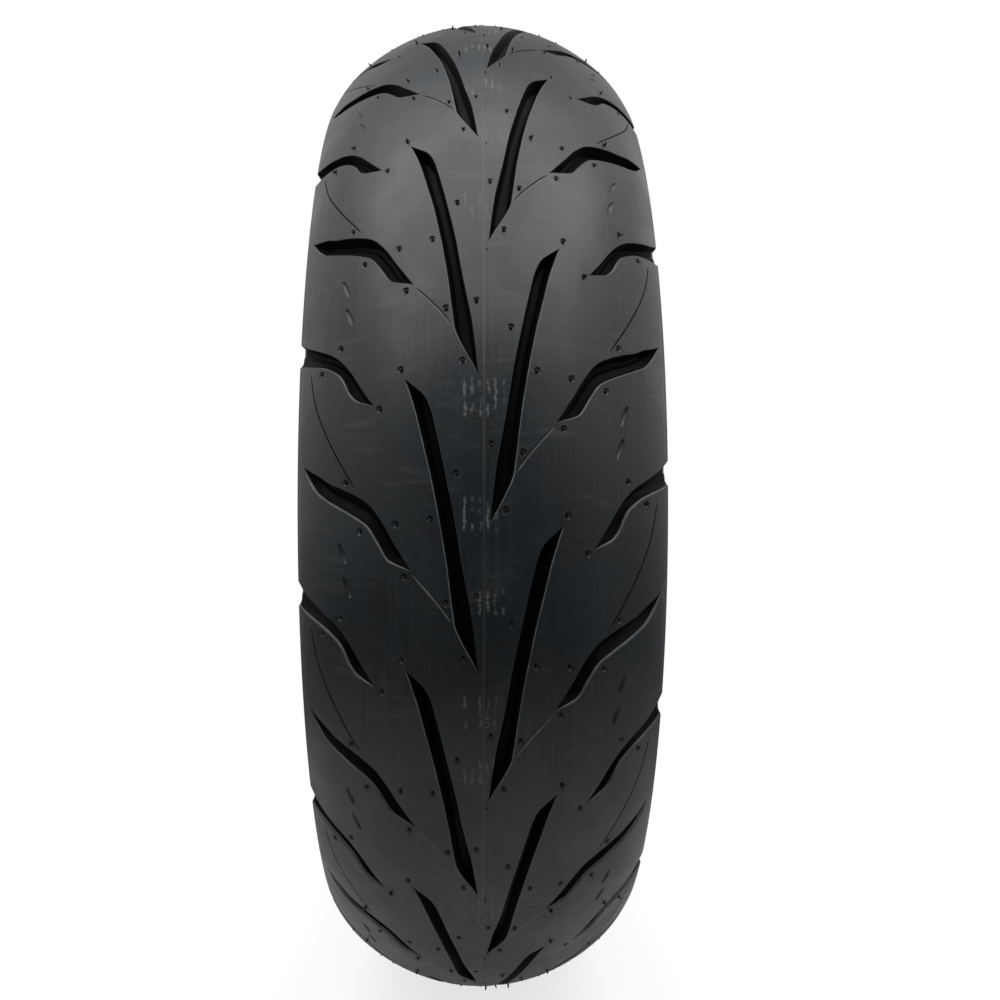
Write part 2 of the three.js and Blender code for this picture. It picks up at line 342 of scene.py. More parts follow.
def ledge_section(width, depth, t):
    """A groove whose far half is a shelf, a little higher than the floor, with a bevelled second edge. The
    bevel is painted lighter (a painted highlight) and the insides darker (a painted shade).
    """
    lip = min(LIP, 0.16 * width)
    drop = min(lip, 0.5 * depth)
    wall = min(lip + DRAFT * depth, 0.2 * width)
    bevel = min(BEVEL, 0.16 * width)
    return [
        (0, 0),
        (0.7 * lip, 0.3 * drop),
        (lip, drop),
        (wall, 0.93 * depth),
        (min(wall + 0.4, 0.26 * width), depth),
        (0.47 * width, depth),
        (0.54 * width, 0.74 * depth),
        (0.59 * width, 0.7 * depth),
        (0.8 * width, 0.58 * depth),
        (width - bevel, max(0.8 * bevel, 0.22 * depth)),
        (width, 0),
    ]


def line_section(width, depth, t):
    """A thin engraved line with a gentle slope down from its first edge and a steep one up again. The gentle
    slope is painted lighter, a painted highlight.
    """
    return [(0, 0), (0.66 * width, depth), (0.86 * width, 0.95 * depth), (width, 0)]


def crease_section(width, depth, t):
    """A thin engraved line with even slopes."""
    return [(0, 0), (0.3 * width, depth), (0.7 * width, depth), (width, 0)]


def dish_section(width, depth, t):
    """A shallow dish with a flat floor."""
    return [(0, 0), (0.2 * width, depth), (0.8 * width, depth), (width, 0)]


# g faces take the darker groove rubber (painted shade), e faces the lighter edge rubber (painted highlight).
SKINS = {
    channel_section: "llgggggee",
    ledge_section: "llggggggge",
    line_section: "egg",
    crease_section: "ggg",
    dish_section: "lll",
}


def cut_strip(tile, side, stations, section, depth_at, rim=False):
    """Adds a groove's surface and leaves its outline open. stations are [x, y, x, y] of the two edges."""
    rows = []
    last = len(stations) - 1
    for i, station in enumerate(stations):
        first, second = station[:2], station[2:]
        width = float(np.linalg.norm(second - first))
        tip = i == 0 or (i == last and not rim)
        if tip:
            rows.append([tile.add_surface(side * first[0], first[1])])
            continue
        points = section(width, depth_at(width, i / last), i / last)
        row = []
        for k, (x, depth) in enumerate(points):
            place = first + (second - first) * (x / width)
            if k in (0, len(points) - 1):
                row.append(tile.add_surface(side * place[0], place[1]))
            else:
                row.append(tile.add(side * place[0], place[1], depth))
        rows.append(row)
    for a, b in zip(rows, rows[1:]):
        for k in range(max(len(a), len(b)) - 1):
            corners = [a[min(k, len(a) - 1)], a[min(k + 1, len(a) - 1)]]
            corners += [b[min(k + 1, len(b) - 1)], b[min(k, len(b) - 1)]]
            corners = list(dict.fromkeys(corners))
            tile.add_faces([[(c, 0) for c in corners]], SKINS[section][k])
    outline = [r[0] for r in rows] + [r[-1] for r in reversed(rows) if len(r) > 1]
    tile.holes.append(outline)
    for k, (a, b) in enumerate(zip(outline, outline[1:] + outline[:1])):
        if not (rim and k == last):
            tile.edges.append(((a, 0), (b, 0)))
    if rim:
        tile.rims[side] += rows[-1]


def widened(middle, width, step):
    """Stations of a strip of one width along a middle line, pointed at both ends."""
    line = spline(middle, step)
    direction = np.gradient(line, axis=0)
    normal = np.stack([-direction[:, 1], direction[:, 0]], 1)
    normal /= np.linalg.norm(normal, axis=1)[:, None]
    share = np.minimum(1, np.minimum(np.arange(len(line)), np.arange(len(line))[::-1]) / 1.3)
    half = normal * (share * width / 2)[:, None]
    return np.hstack([line - half, line + half])


def oval(centre, width, length, lean, count):
    """Stations of an oval that leans outwards at its upper end."""
    out = []
    for t in np.linspace(0, math.pi, count):
        across = centre[0] + lean * math.cos(t) / 2
        along = centre[1] - length * math.cos(t) / 2
        half = width * math.sin(t) / 2
        out.append([across - half, along, across + half, along])
    return np.array(out)


def pattern_strips():
    """(stations, cross-section, depth for a width, whether it runs out through the edge) of each cut."""

    def deep(limit, steepness):
        return lambda width, t: min(limit, steepness * width)

    def sloped(steepness):
        return lambda width, t: steepness * width

    def to_rim(width, t):
        """Shallower over the last part of the way, where the groove runs out through the edge."""
        return min(SHOULDER_DEPTH, 1.15 * width) * (1 - 0.52 * min(1, max(0, (t - 0.72) / 0.28)))

    yield spline(CENTRE_GROOVE, STRIP_STEP), channel_section, deep(CENTRE_DEPTH, 1.5), False
    yield spline(LATERAL_GROOVE, STRIP_STEP), ledge_section, deep(LATERAL_DEPTH, 1.0), False
    yield spline(SHOULDER_GROOVE, STRIP_STEP), ledge_section, to_rim, True
    yield widened(SHOULDER_LINE, SHOULDER_LINE_WIDTH, 2.4), crease_section, sloped(0.6), False
    yield widened(TIP_LINE, TIP_LINE_WIDTH, 2.0), line_section, sloped(0.26), False
    for centre in DIMPLES:
        yield oval(centre, *DIMPLE_SIZE, DIMPLE_LEAN, 11), dish_section, sloped(0.3), False
    for centre in VENTS:
        yield oval(centre, 2 * VENT_RADIUS, 2 * VENT_RADIUS, 0, 7), dish_section, sloped(0.22), False


def placed(stations, side):
    """Stations moved from the drawing to their place along the crown. The left runs half a pitch later."""
    out = np.array(stations, float)
    out[:, 1::2] = out[:, 1::2] * (PITCH / DRAWN_PITCH) + PATTERN_START
    if side < 0:
        out[:, 1::2] += PITCH / 2
    return out


def inside(points, outline):
    """Which of the points lie inside a closed outline."""
    x, y = points[:, 0][:, None], points[:, 1][:, None]
    a = outline
    b = np.roll(outline, -1, axis=0)
    spans = (a[:, 1] > y) != (b[:, 1] > y)
    rise = np.where(b[:, 1] == a[:, 1], 1, b[:, 1] - a[:, 1])
    crossing = a[:, 0] + (y - a[:, 1]) * (b[:, 0] - a[:, 0]) / rise
    return (spans & (x < crossing)).sum(1) % 2 == 1


def triangulate(flat, edges, holes):
    """Triangles over a pattern that repeats every pitch.

    flat is {point: (x, y)}, edges are pairs of corners to keep, and holes are outlines to leave out.
    """
    points = list(flat)
    place = {p: i for i, p in enumerate(points)}
    copies = range(-1, 4)
    base = np.array([flat[p] for p in points])
    everywhere = np.vstack([base + [0, k * PITCH] for k in copies])
    count = len(points)
    kept = []
    for (a, shift_a), (b, shift_b) in edges:
        for row, _ in enumerate(copies):
            i, j = row + shift_a, row + shift_b
            if 0 <= i < len(copies) and 0 <= j < len(copies):
                kept.append((i * count + place[a], j * count + place[b]))
    verts, _, faces, originals, _, _ = delaunay_2d_cdt(
        [Vector(p) for p in everywhere], kept, [], 0, 1e-4, True
    )
    xy = np.array([tuple(v) for v in verts])
    triangles = np.array(faces)
    middle = xy[triangles].mean(1)
    wanted = (middle[:, 1] >= PITCH) & (middle[:, 1] < 2 * PITCH)
    for outline in holes:
        shape = np.array([flat[p] for p in outline])
        for k in copies:
            wanted &= ~inside(middle, shape + [0, k * PITCH])
    out = []
    for triangle in triangles[wanted]:
        corners = []
        for v in triangle:
            row, index = divmod(originals[v][0], count)
            corners.append((points[index], row - 2))
        out.append(corners)
    return out


def clear_of(candidates, tile, distance):
    """The candidates that keep a distance from every point already in the surface, and lie in no hole."""
    taken = np.array(list(tile.flat.values()))
    taken = np.vstack([taken + [0, k * PITCH] for k in range(-3, 4)])
    gap = np.sqrt(((candidates[:, None] - taken[None]) ** 2).sum(2)).min(1)
    good = gap > distance
    for outline in tile.holes:
        shape = np.array([tile.flat[p] for p in outline])
        for k in range(-3, 4):
            good &= ~inside(candidates, shape + [0, k * PITCH])
    return candidates[good]


def add_line(tile, distance, step, height=0.0):
    """A row of surface points all the way along a pitch, kept as a line."""
    n = round(PITCH / step)
    row = [tile.add_surface(distance, PITCH * i / n, height) for i in range(n)]
    for i, p in enumerate(row):
        tile.edges.append(((p, 0), (row[(i + 1) % n], (i + 1) // n)))
    return row


def surface_tile():
    """The tread's outer surface over one pitch: grooves, parting line, lands and points at both edges."""
    tile = Tile()
    for side in (1, -1):
        for stations, section, depth_at, rim in pattern_strips():
            cut_strip(tile, side, placed(stations, side), section, depth_at, rim)
    for distance, height in PARTING_PROFILE:
        add_line(tile, distance, PARTING_STEP, height)
    for side in (1, -1):
        just_inside = side * (EDGE - 0.05)
        candidates = np.array([[just_inside, PITCH * i / EDGE_POINTS] for i in range(EDGE_POINTS)])
        for _, y in clear_of(candidates, tile, EDGE_CLEARANCE):
            tile.rims[side].append(tile.add_surface(side * EDGE, y))
        ordered = sorted(tile.rims[side], key=lambda p: tile.places[p][2] % PITCH)
        tile.rims[side] = [(p, -math.floor(tile.places[p][2] / PITCH)) for p in ordered]
    draw = random.Random(7)
    lands = []
    for i, distance in enumerate(np.arange(-72.5, 73, LAND_STEP)):
        for j in range(LAND_POINTS):
            along = (j + 0.5 * (i % 2)) * PITCH / LAND_POINTS
            across = distance + draw.uniform(-LAND_JITTER, LAND_JITTER)
            lands.append([across, along + draw.uniform(-LAND_JITTER, LAND_JITTER)])
    for x, y in clear_of(np.array(lands), tile, LAND_CLEARANCE):
        tile.add_surface(x, y)
    tile.add_faces(triangulate(tile.flat, tile.edges, tile.holes))
    return tile


def close_tile(tile):
    """Adds the tread's two edges and its underside, so that the repeated tile is one closed body."""
    under = {}
    wing_drop = np.array([-1.1, -2.4])
    corner = np.array(section_point(EDGE_ANGLE, 0)) + wing_drop
    inner = np.array(section_point(INNER_EDGE_ANGLE, TREAD_THICKNESS))
    for side in (1, -1):
        rows = []
        for point, shift in tile.rims[side]:
            across, radius, along = tile.places[point]
            top = np.array([abs(across), radius])
            bulge = top + (corner - top) * 0.35 + [0.22, 0]
            row = [(point, shift)]
            for place in (bulge, corner, inner):
                new = tile.add_place(side * place[0], place[1], along)
                row.append((new, shift))
            under[row[-1][0]] = (side * INNER_EDGE_ANGLE * UNDER_SCALE, along)
            rows.append(row)
        further = [(p, k + 1) for p, k in rows[0]]
        for a, b in zip(rows, [*rows[1:], further]):
            for k in range(3):
                tile.add_faces([[a[k], a[k + 1], b[k + 1], b[k]]])
    for i in range(1, UNDER_COLUMNS):
        angle = INNER_EDGE_ANGLE * (2 * i / UNDER_COLUMNS - 1)
        for j in range(UNDER_POINTS):
            along = (j + 0.5 * (i % 2)) * PITCH / UNDER_POINTS
            point = tile.add_place(*section_point(angle, TREAD_THICKNESS), along)
            under[point] = (angle * UNDER_SCALE, along)
    tile.add_faces(triangulate(under, [], []))


def turn_at(along):
    """The angle round the axle from the top, of a distance along the crown from the front."""
    even = along / OUTER_RADIUS
    return math.pi / 2 + even + PITCH_WAVE * math.sin(2 * even)


def around(across, radius, along):
    """A point of the row frame, in metres."""
    angle = turn_at(along)
    return (radius * math.sin(angle) * MM, across * MM, radius * math.cos(angle) * MM)


def normal_at(distance, along):
    """The outward normal of the smooth tread surface."""
    slope = surface_angle(distance)
    angle = turn_at(along)
    level = math.cos(slope)
    return (level * math.sin(angle), math.sin(slope), level * math.cos(angle))


def new_object(name, verts, faces):
    mesh = bpy.data.meshes.new(name)
    mesh.from_pydata(verts, [], faces)
    mesh.update()
    obj = bpy.data.objects.new(name, mesh)
    bpy.context.scene.collection.objects.link(obj)
    return obj


def face_outwards(obj):
    """Turns all faces outwards and shades them smooth."""
    bm = bmesh.new()
    bm.from_mesh(obj.data)
    bmesh.ops.recalc_face_normals(bm, faces=bm.faces)
    bm.to_mesh(obj.data)
    bm.free()
    obj.data.polygons.foreach_set("use_smooth", [True] * len(obj.data.polygons))
    obj.data.update()


def make_tread():
    tile = surface_tile()
    close_tile(tile)
    count = len(tile.places)
    verts = [
        around(across, radius, along + k * PITCH)
        for k in range(PITCHES)
        for across, radius, along in tile.places
    ]
    faces = [
        [((k + shift) % PITCHES) * count + point for point, shift in face]
        for k in range(PITCHES)
        for face in tile.faces
    ]
    tread = new_object("tread_rubber_band", verts, faces)
    face_outwards(tread)
    normals = np.zeros(len(verts) * 3)
    tread.data.vertex_normals.foreach_get("vector", normals)
    normals = normals.reshape(-1, 3)
    rims = {p for side in tile.rims.values() for p, _ in side}
    for point, (distance, along) in tile.flat.items():
        if point not in rims and abs(distance) > 0.4:
            for k in range(PITCHES):
                normals[k * count + point] = normal_at(distance, along + k * PITCH)
    tread.data.normals_split_custom_set_from_vertices([tuple(n) for n in normals])
    # Material slots by skin: l the tread rubber, g the darker groove rubber (painted shade), e the lighter
    # edge rubber (painted highlight).
    skins = ["lge".index(skin) for skin in tile.skins] * PITCHES
    tread.data.polygons.foreach_set("material_index", skins)
    return tread


# ---------- vent stubs ----------
VENT_PROFILE = [(0.42, -0.7), (0.41, -0.2), (0.37, 0.4), (0.3, 0.85), (0.18, 1.0), (0, 1.02)]
VENT_SIDES = 8
PRESSED_BEYOND = -0.985  # cosine of the turn from the top, past which a stub is pressed flat
PRESSED_HEIGHT = 0.2


def make_vents():
    """The little rubber hairs that the mould's vent holes leave, each of its own height and lean."""
    draw = random.Random(11)
    places = []
    for side in (1, -1):
        shift = PATTERN_START + (PITCH / 2 if side < 0 else 0)
        places += [(side * x, y * PITCH / DRAWN_PITCH + shift, 1.0) for x, y in VENTS]
    places += [(1.2, PITCH * (k / 2 + 0.1), 0.7) for k in range(2)]
    verts, faces = [], []
    for k in range(PITCHES):
        for distance, along, size in places:
            size *= draw.uniform(0.85, 1.1)
            height = size * draw.choice([0.35, 0.45, 0.7, 1.0, 1.6])
            if math.cos(turn_at(along + k * PITCH)) < PRESSED_BEYOND:
                height = PRESSED_HEIGHT
            lean = [draw.uniform(-0.3, 0.3) * height, draw.uniform(-0.3, 0.3) * height]
            start = len(verts)
            for r, h in VENT_PROFILE:
                bend = max(0.0, h) ** 1.6
                for i in range(VENT_SIDES):
                    turn = TAU * i / VENT_SIDES
                    across = distance + size * r * math.cos(turn) + bend * lean[0]
                    down = along + k * PITCH + size * r * math.sin(turn) + bend * lean[1]
                    rise = h * height if h > 0 else h
                    verts.append(around(*section_point(surface_angle(across), -rise), down))
            for row in range(len(VENT_PROFILE) - 1):
                for i in range(VENT_SIDES):
                    a = start + row * VENT_SIDES + i
                    b = start + row * VENT_SIDES + (i + 1) % VENT_SIDES
                    faces.append((a, b, b + VENT_SIDES, a + VENT_SIDES))
            faces.append([start + i for i in range(VENT_SIDES)])
    vents = new_object("vent_hairs", verts, faces)
    bm = bmesh.new()
    bm.from_mesh(vents.data)
    bmesh.ops.remove_doubles(bm, verts=bm.verts, dist=1e-6)
    bm.to_mesh(vents.data)
    bm.free()
    face_outwards(vents)
    return vents


# ---------- rings turned from a cross-section ----------
RING_SEGMENTS = 192


def turned(name, profile, segments):
    """A closed ring from an outline of (across, radius) in metres."""
    count = len(profile)
    verts = []
    for k in range(segments):
        angle = TAU * k / segments
        verts += [(r * math.sin(angle), y, r * math.cos(angle)) for y, r in profile]
    faces = []
    for k in range(segments):
        for i in range(count):
            a, b = k * count + i, k * count + (i + 1) % count
            c, d = (k + 1) % segments * count + i, (k + 1) % segments * count + (i + 1) % count
            faces.append((a, b, d, c))
    ring = new_object(name, verts, faces)
    face_outwards(ring)
    return ring


def ribbed(knots, ribs, step):
    """Points along a smooth line of (across, radius), as (distance along, point, outward normal, relief).

    ribs are (distance along, width, height) of ridges round the ring; a negative height is a groove.
    """
    line = spline(knots, 0.5)
    lengths = np.concatenate([[0], np.cumsum(np.linalg.norm(np.diff(line, axis=0), axis=1))])
    marks = {0.0, float(lengths[-1])}
    marks |= set(np.arange(step, lengths[-1] - step / 2, step))
    for middle, width, _ in ribs:
        marks = {m for m in marks if abs(m - middle) > 0.75 * width or m in (0.0, float(lengths[-1]))}
        marks |= {middle + share * width for share in (-0.5, -0.25, 0.25, 0.5)}
    out = []
    for mark in sorted(marks):
        place = np.array([np.interp(mark, lengths, line[:, i]) for i in (0, 1)])
        ahead = np.array([np.interp(mark + 0.2, lengths, line[:, i]) for i in (0, 1)])
        behind = np.array([np.interp(mark - 0.2, lengths, line[:, i]) for i in (0, 1)])
        run = ahead - behind
        normal = np.array([-run[1], run[0]]) / np.linalg.norm(run)
        height = sum(h for middle, width, h in ribs if abs(mark - middle) <= 0.3 * width)
        out.append((mark, place, normal, height))
    return out


def hatched(distance, k):
    """How far the fine radial ribs of the hatched panels stand out, at a distance down the sidewall."""
    start, end = HATCH_BAND
    share = (k / SIDE_SEGMENTS * HATCH_PANELS) % 1
    if k % 3 == 0 or not start < distance < end or not HATCH_GAP < share < 1 - HATCH_GAP:
        return 0.0
    return HATCH_HEIGHT


def make_flank(name, side, knots, ribs, rest, pattern=None):
    """A ring with a detailed outer line, ribs and all, closed by the plain points in rest."""
    line = ribbed(knots, ribs, RIB_STEP)
    count = len(line) + len(rest)
    verts = []
    for k in range(SIDE_SEGMENTS):
        angle = TAU * k / SIDE_SEGMENTS
        for distance, place, normal, height in line:
            if pattern:
                height = height + pattern(distance, k)
            y, r = (place + normal * height) * MM
            verts.append((r * math.sin(angle), side * y, r * math.cos(angle)))
        verts += [(r * MM * math.sin(angle), side * y * MM, r * MM * math.cos(angle)) for y, r in rest]
    faces = []
    for k in range(SIDE_SEGMENTS):
        after = (k + 1) % SIDE_SEGMENTS * count
        for i in range(count):
            a, b = k * count + i, k * count + (i + 1) % count
            faces.append((a, b, after + (i + 1) % count, after + i))
    ring = new_object(name, verts, faces)
    face_outwards(ring)
    return ring


def cad_outline(node):
    """The cross-section of a CAD ring, as an outline of (across, radius), read at the top facets' joint."""
    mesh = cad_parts[node].data
    tolerance = 1e-5
    flat = {}
    for v in mesh.vertices:
        if abs(v.co.x) < tolerance and v.co.z > 0:
            flat[v.index] = (round(v.co.y, 6), round(v.co.z, 6))
    neighbours = {}
    for polygon in mesh.polygons:
        corners = list(polygon.vertices)
        for a, b in zip(corners, corners[1:] + corners[:1]):
            if a in flat and b in flat and flat[a] != flat[b]:
                neighbours.setdefault(flat[a], set()).add(flat[b])
                neighbours.setdefault(flat[b], set()).add(flat[a])
    start = min(neighbours)
    outline = [start]
    while True:
        onward = [p for p in sorted(neighbours[outline[-1]]) if p not in outline]
        if not onward:
            return outline
        outline.append(onward[0])


def softened(outline, times, share=0.2):
    """An outline with its corners cut, over and over."""
    points = np.array(outline)
    for _ in range(times):
        after = np.roll(points, -1, axis=0)
        points = np.stack([points + (after - points) * share, after - (after - points) * share], 1)
        points = points.reshape(-1, 2)
    return [tuple(p) for p in points]


# ---------- materials ----------
class Shader:
    """A node material being put together."""

    def __init__(self, name, color, roughness, metallic=0.0):
        self.material = bpy.data.materials.new(name)
        self.material.use_nodes = True
        self.tree = self.material.node_tree
        self.surface = self.tree.nodes["Principled BSDF"]
        self.surface.inputs["Base Color"].default_value = (*color, 1)
        self.surface.inputs["Roughness"].default_value = roughness
        self.surface.inputs["Metallic"].default_value = metallic
        self.place = self.node("ShaderNodeTexCoord").outputs["Object"]
        split = self.node("ShaderNodeSeparateXYZ", Vector=self.place)
        x, y, z = split.outputs
        angle = self.math("ARCTAN2", x, z)
        self.across = y
        self.along = self.math("MULTIPLY", angle, OUTER_RADIUS * MM)

    def node(self, kind, **inputs):
        node = self.tree.nodes.new(kind)
        for key, value in inputs.items():
            self.feed(node.inputs[key], value)
        return node

    def feed(self, socket, value):
        if isinstance(value, bpy.types.NodeSocket):
            self.tree.links.new(value, socket)
        else:
            socket.default_value = value

    def math(self, operation, *values):
        node = self.node("ShaderNodeMath")
        node.operation = operation
        for socket, value in zip(node.inputs, values):
            self.feed(socket, value)
        return node.outputs[0]

    def vector(self, x, y, z=0.0):
        return self.node("ShaderNodeCombineXYZ", X=x, Y=y, Z=z).outputs[0]

    def stretched(self, across, along):
        """Coordinates on the tire's skin, in repeats per metre each way."""
        return self.vector(
            self.math("MULTIPLY", self.across, across), self.math("MULTIPLY", self.along, along), 0.0
        )

    def noise(self, where, scale=1.0, detail=3.0, rough=0.55):
        node = self.node("ShaderNodeTexNoise", Vector=where, Scale=scale, Detail=detail, Roughness=rough)
        return node.outputs["Fac"]

    def ramp(self, value, low, high, start=0.0, end=1.0):
        """value carried from low..high to start..end, held at both ends."""
        node = self.node("ShaderNodeMapRange", Value=value)
        for key, number in zip(("From Min", "From Max", "To Min", "To Max"), (low, high, start, end)):
            self.feed(node.inputs[key], number)
        return node.outputs["Result"]

    def mix(self, share, a, b):
        node = self.node("ShaderNodeMix")
        node.data_type = "RGBA"
        self.feed(node.inputs["Factor"], share)
        self.feed(node.inputs["A"], a)
        self.feed(node.inputs["B"], b)
        return node.outputs["Result"]

    def bump(self, height, strength, distance):
        node = self.node("ShaderNodeBump", Height=height, Strength=strength, Distance=distance)
        if self.surface.inputs["Normal"].links:
            self.feed(node.inputs["Normal"], self.surface.inputs["Normal"].links[0].from_socket)
        self.feed(self.surface.inputs["Normal"], node.outputs["Normal"])


def shade(color, factor):
    return tuple(min(1.0, c * factor) for c in color) + (1,)


def scuff_marks(s):
    """Short pale strokes in groups, in a few rows on both sides of the parting line."""
    column = s.math("DIVIDE", s.across, 0.0025)
    row = s.math("MULTIPLY", s.math("FLOOR", column), 3.7)
    wobble = s.noise(s.vector(row, s.math("MULTIPLY", s.along, 900.0)), 1.0, 2.0)
    bent = s.noise(s.vector(row, s.math("MULTIPLY", s.along, 260.0), 4.0), 1.0, 1.0)
    off = s.math("ABSOLUTE", s.math("SUBTRACT", s.math("FRACT", column), s.ramp(bent, 0.3, 0.7, 0.3, 0.7)))
    width = s.math("SUBTRACT", s.ramp(wobble, 0.3, 0.7, 0.06, 0.34), off)
    group = s.ramp(s.noise(s.stretched(0.0, 45.0), 1.0, 1.0), 0.53, 0.57)
    stroke = s.ramp(s.noise(s.vector(row, s.math("MULTIPLY", s.along, 120.0)), 1.0, 2.0), 0.42, 0.56)
    near = s.ramp(s.math("ABSOLUTE", s.across), 0.0072, 0.0078, 1.0, 0.0)
    shown = s.math("MULTIPLY", s.math("MULTIPLY", group, stroke), near)
    return s.math("MULTIPLY", s.ramp(width, 0.0, 0.08), shown)


def parting_highlight(s):
    """1 on the fine ridge where the halves of the mould meet, which is painted lighter as a painted
    highlight.
    """
    return s.ramp(s.math("ABSOLUTE", s.across), 0.0003, 0.0005, 1.0, 0.0)


def parting_dots(s):
    """1 on the dotted row of dark marks that runs beside the ridge for part of the way."""
    off = s.math("ABSOLUTE", s.math("SUBTRACT", s.across, 0.0012))
    dot = s.ramp(s.math("SINE", s.math("MULTIPLY", s.along, TAU / 0.0016)), 0.1, 0.4)
    stretch = s.ramp(s.noise(s.stretched(0.0, 21.0), 1.0, 1.0), 0.5, 0.54)
    return s.math("MULTIPLY", s.ramp(off, 0.0002, 0.0004, 1.0, 0.0), s.math("MULTIPLY", dot, stretch))


def rubber(name, color, roughness, on_tread=False):
    """Satin black rubber: smudges, smears and a fine grain, and on the tread also marks along the crown,
    with the parting ridge painted lighter as a painted highlight.
    """
    s = Shader(name, color, roughness)
    smudge = s.noise(s.place, 24.0, 5.0, 0.6)
    grain = s.noise(s.place, 900.0, 3.0, 0.7)
    fine_smear = s.noise(s.stretched(70.0, 420.0), 1.0, 3.0)
    smear = s.math("MULTIPLY", fine_smear, s.noise(s.stretched(45.0, 60.0), 1.0, 1.0))
    patch = s.ramp(s.noise(s.stretched(30.0, 20.0), 1.0, 2.0), 0.49, 0.53)
    base = s.mix(s.ramp(smudge, 0.35, 0.68), shade(color, 0.65), shade(color, 1.4))
    base = s.mix(s.ramp(grain, 0.35, 0.7, 0.0, 0.5), base, shade(color, 2.0))
    base = s.mix(s.ramp(smear, 0.3, 0.42, 0.0, 0.6), base, (0.034, 0.037, 0.038, 1))
    base = s.mix(s.math("MULTIPLY", patch, 0.4), base, shade(color, 2.2))
    rough = s.ramp(smudge, 0.35, 0.7, roughness - 0.05, roughness + 0.06)
    rough = s.math("ADD", rough, s.math("MULTIPLY", patch, -0.05))
    rough = s.math("ADD", rough, s.ramp(grain, 0.3, 0.7, -0.03, 0.04))
    if on_tread:
        streak = s.noise(s.stretched(1100.0, 14.0), 1.0, 2.0)
        streaked = s.ramp(s.noise(s.stretched(30.0, 12.0), 1.0, 1.0), 0.42, 0.6, 0.05, 0.6)
        streaks = s.math("MULTIPLY", s.ramp(streak, 0.45, 0.75), streaked)
        base = s.mix(streaks, base, (0.032, 0.035, 0.037, 1))
        s.bump(streak, 0.3, 0.00006)
        marks = scuff_marks(s)
        base = s.mix(s.math("MULTIPLY", marks, 0.8), base, (0.1, 0.105, 0.11, 1))
        # The parting ridge painted lighter: a painted highlight.
        base = s.mix(s.math("MULTIPLY", parting_highlight(s), 0.3), base, (0.05, 0.055, 0.058, 1))
        base = s.mix(s.math("MULTIPLY", parting_dots(s), 0.9), base, (0.001, 0.001, 0.001, 1))
        rough = s.math("ADD", rough, s.math("MULTIPLY", marks, 0.25))
    s.feed(s.surface.inputs["Base Color"], base)
    s.feed(s.surface.inputs["Roughness"], rough)
    s.bump(grain, 0.5, 0.00008)
    s.bump(smudge, 0.25, 0.0004)
    return s.material


def plain_rubber(name, color, roughness, shine):
    """Rubber with a little variation only, for the insides and edges of the grooves: a darker colour in the
    insides is painted shade, a lighter one on the edges is painted highlight.
    """
    s = Shader(name, color, roughness)
    s.surface.inputs["Specular IOR Level"].default_value = shine
    cloud = s.noise(s.place, 160.0, 3.0)
    base = s.mix(s.ramp(cloud, 0.35, 0.7), shade(color, 0.7), shade(color, 1.3))
    s.feed(s.surface.inputs["Base Color"], base)
    s.feed(s.surface.inputs["Roughness"], s.ramp(cloud, 0.3, 0.7, roughness - 0.04, roughness + 0.04))
    return s.material


def corded(name, color, slant, spacing):
    """Fabric of parallel cords in rubber: slant is how far the cords run along for each metre across."""
    s = Shader(name, color, 0.7)
    run = s.math("ADD", s.along, s.math("MULTIPLY", s.across, slant))
    wave = s.math("SINE", s.math("MULTIPLY", run, TAU / spacing))
    ridge = s.ramp(wave, -1.0, 1.0)
    fuzz = s.noise(s.place, 1800.0, 3.0)
    base = s.mix(ridge, shade(color, 0.45), shade(color, 1.15))
    base = s.mix(s.ramp(fuzz, 0.4, 0.75, 0.0, 0.5), base, shade(color, 1.5))
    s.feed(s.surface.inputs["Base Color"], base)
    s.feed(s.surface.inputs["Roughness"], s.ramp(fuzz, 0.3, 0.7, 0.62, 0.82))
    s.bump(ridge, 0.6, 0.0003)
    s.bump(fuzz, 0.3, 0.00008)
    return s.material


def wire(name, color):
    """Bronze-coated steel wire, with faint drawing lines along it and a few dull spots."""
    s = Shader(name, color, 0.32, 1.0)
    lines = s.noise(s.stretched(9000.0, 60.0), 1.0, 2.0)
    spots = s.noise(s.place, 160.0, 3.0)
    base = s.mix(s.ramp(spots, 0.45, 0.7), shade(color, 1.1), shade(color, 0.6))
    s.feed(s.surface.inputs["Base Color"], base)
    s.feed(s.surface.inputs["Roughness"], s.ramp(spots, 0.4, 0.7, 0.26, 0.48))
    s.bump(lines, 0.3, 0.00003)
    return s.material


def finish_piece(piece, slot, materials, *nodes):
    for material in materials if isinstance(materials, list) else [materials]:
        piece.data.materials.append(material)
    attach(piece, "root")
    if nodes:
        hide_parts(*nodes)


TREAD_COLOR = (0.0068, 0.0098, 0.0122)
WALL_COLOR = (0.0135, 0.0155, 0.017)
tread_material = rubber("tread_rubber", TREAD_COLOR, 0.43, on_tread=True)
wall_material = rubber("sidewall_rubber", WALL_COLOR, 0.44)
soft_material = rubber("soft_rubber", (0.045, 0.045, 0.046), 0.66)
liner_material = rubber("liner_rubber", (0.02, 0.0205, 0.021), 0.36)
ply_material = corded("ply_cords", (0.04, 0.038, 0.036), 0.0, 0.0011)
belt_material = corded("belt_cords", (0.06, 0.052, 0.044), 0.55, 0.0012)
belt_back_material = corded("belt_cords_crossing", (0.06, 0.052, 0.044), -0.55, 0.0012)
wire_material = wire("bead_wire", (0.62, 0.44, 0.25))
chafer_material = corded("chafer_cords", (0.03, 0.029, 0.027), 1.0, 0.0014)

# Groove insides: near-black with little shine, a painted shade for the dark of the recesses.
groove_shade_material = plain_rubber("groove_painted_shade_rubber", (0.002, 0.0022, 0.0025), 0.6, 0.1)
